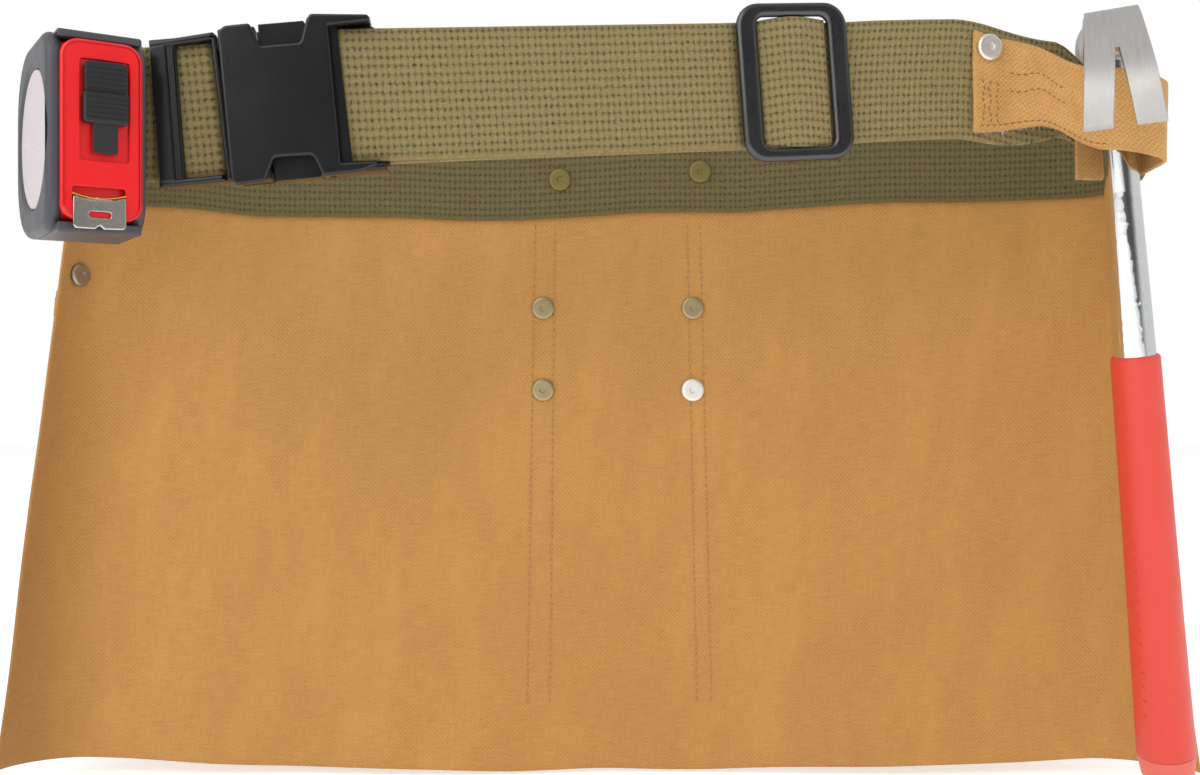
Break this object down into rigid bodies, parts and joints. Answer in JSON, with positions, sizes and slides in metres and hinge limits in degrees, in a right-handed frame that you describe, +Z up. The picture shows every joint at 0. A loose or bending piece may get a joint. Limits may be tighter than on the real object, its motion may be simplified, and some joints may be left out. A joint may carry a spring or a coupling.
{
  "type": "tool belt",
  "caption": "Canvas waist tool belt: webbing strap with side-release buckle and slider, rear pocket apron, claw hammer in a loop and a clipped-on tape measure.",
  "frame": {"origin": "centre of the waist loop, level with the middle of the rear webbing", "axes": "+X to the hammer's end seen from the buckle side, +Y from the buckle side to the pockets, +Z up"},
  "size_m": [0.572, 0.2716, 0.3566],
  "materials": {
    "canvas": "heavy cotton duck, plain weave",
    "webbing": "ribbed cotton webbing",
    "buckle_plastic": "fine moulded texture",
    "slider_metal": "gunmetal plating",
    "head_steel": "satin",
    "handle_chrome": "polished",
    "grip_rubber": "soft matt",
    "butt_rubber": "soft matt",
    "case_red": "glossy",
    "cover_rubber": "matt over-mould",
    "side_disc": "pale satin",
    "button_plastic": "ribbed",
    "blade_paint": "lacquered",
    "steel": "zinc plated",
    "brass": "aged",
    "nickel": "nickel plated",
    "inner_plastic": "plain"
  },
  "bodies": {
    "belt": {"belt_webbing": "webbing", "webbing_tail": "webbing", "adjusting_strap": "webbing", "apron_panel": "canvas", "left_large_pocket": "canvas", "right_large_pocket": "canvas", "left_nail_pocket": "canvas", "right_nail_pocket": "canvas", "hammer_loop": "canvas", "webbing_rivets": "brass", "pocket_rivets": "brass", "rivet_burrs": "brass", "loop_rivet": "nickel", "buckle_plug": "buckle_plastic"},
    "upper_prong": {"upper_prong": "buckle_plastic"},
    "lower_prong": {"lower_prong": "buckle_plastic"},
    "socket": {"buckle_socket": "buckle_plastic"},
    "slider": {"slider": "slider_metal"},
    "hammer": {"hammer_head": "head_steel", "hammer_handle": "handle_chrome", "hammer_grip": "grip_rubber", "grip_butt": "butt_rubber"},
    "tape": {"left_case_cover": "cover_rubber", "right_case_cover": "cover_rubber", "left_case_half": "case_red", "right_case_half": "case_red", "left_side_disc": "side_disc", "right_side_disc": "side_disc", "case_screws": "steel", "belt_clip": "steel", "clip_screw": "steel", "spool_axle": "inner_plastic", "return_spring": "steel"},
    "spool": {"blade_coil": "blade_paint", "spring_drum": "inner_plastic"},
    "blade": {"blade_lead": "blade_paint", "end_hook": "steel", "hook_rivets": "steel"},
    "lock_button": {"lock_button": "button_plastic"}
  },
  "joints": [
    {"name": "upper_prong_squeeze", "type": "hinge", "parent": "belt", "child": "upper_prong", "pos_m": [-0.1368, -0.08421, 0.01276], "axis": [-0.0993, 0.9951, 0], "range_deg": [0, 11], "stiffness_Nm_per_rad": 0.05},
    {"name": "lower_prong_squeeze", "type": "hinge", "parent": "belt", "child": "lower_prong", "pos_m": [-0.13274, -0.08381, -0.02301], "axis": [0.0993, -0.9951, 0], "range_deg": [0, 11], "stiffness_Nm_per_rad": 0.05},
    {"name": "buckle_release", "type": "slide", "parent": "belt", "child": "socket", "axis": [0.9887, 0.0987, 0.1132], "range_m": [0, 0.05], "deforming": ["upper_prong", "lower_prong", "adjusting_strap"]},
    {"name": "slider_adjust", "type": "slide", "parent": "belt", "child": "slider", "axis": [0.9721, 0.2216, 0.0768], "range_m": [-0.03, 0.03]},
    {"name": "hammer_lift", "type": "slide", "parent": "belt", "child": "hammer", "axis": [-0.1123, -0.0834, 0.9902], "range_m": [0, 0.34]},
    {"name": "tape_lift", "type": "slide", "parent": "belt", "child": "tape", "axis": [0, 0, 1], "range_m": [0, 0.06]},
    {"name": "blade_pull", "type": "slide", "parent": "tape", "child": "blade", "axis": [0.5446, -0.8387, 0], "range_m": [0, 0.04], "stiffness_N_per_m": 15, "springref_m": -0.03},
    {"name": "spool_turn", "type": "hinge", "parent": "tape", "child": "spool", "pos_m": [-0.19433, -0.08922, -0.0166], "axis": [0.8387, 0.5446, 0], "range_deg": [-96, 0]},
    {"name": "lock_slide", "type": "slide", "parent": "tape", "child": "lock_button", "axis": [0, 0, -1], "range_m": [0, 0.008]}
  ],
  "couplings": [
    {"joint": "lower_prong_squeeze", "follows": "upper_prong_squeeze", "ratio": 1},
    {"joint": "spool_turn", "follows": "blade_pull", "rad_per_m": -41.152}
  ]
}
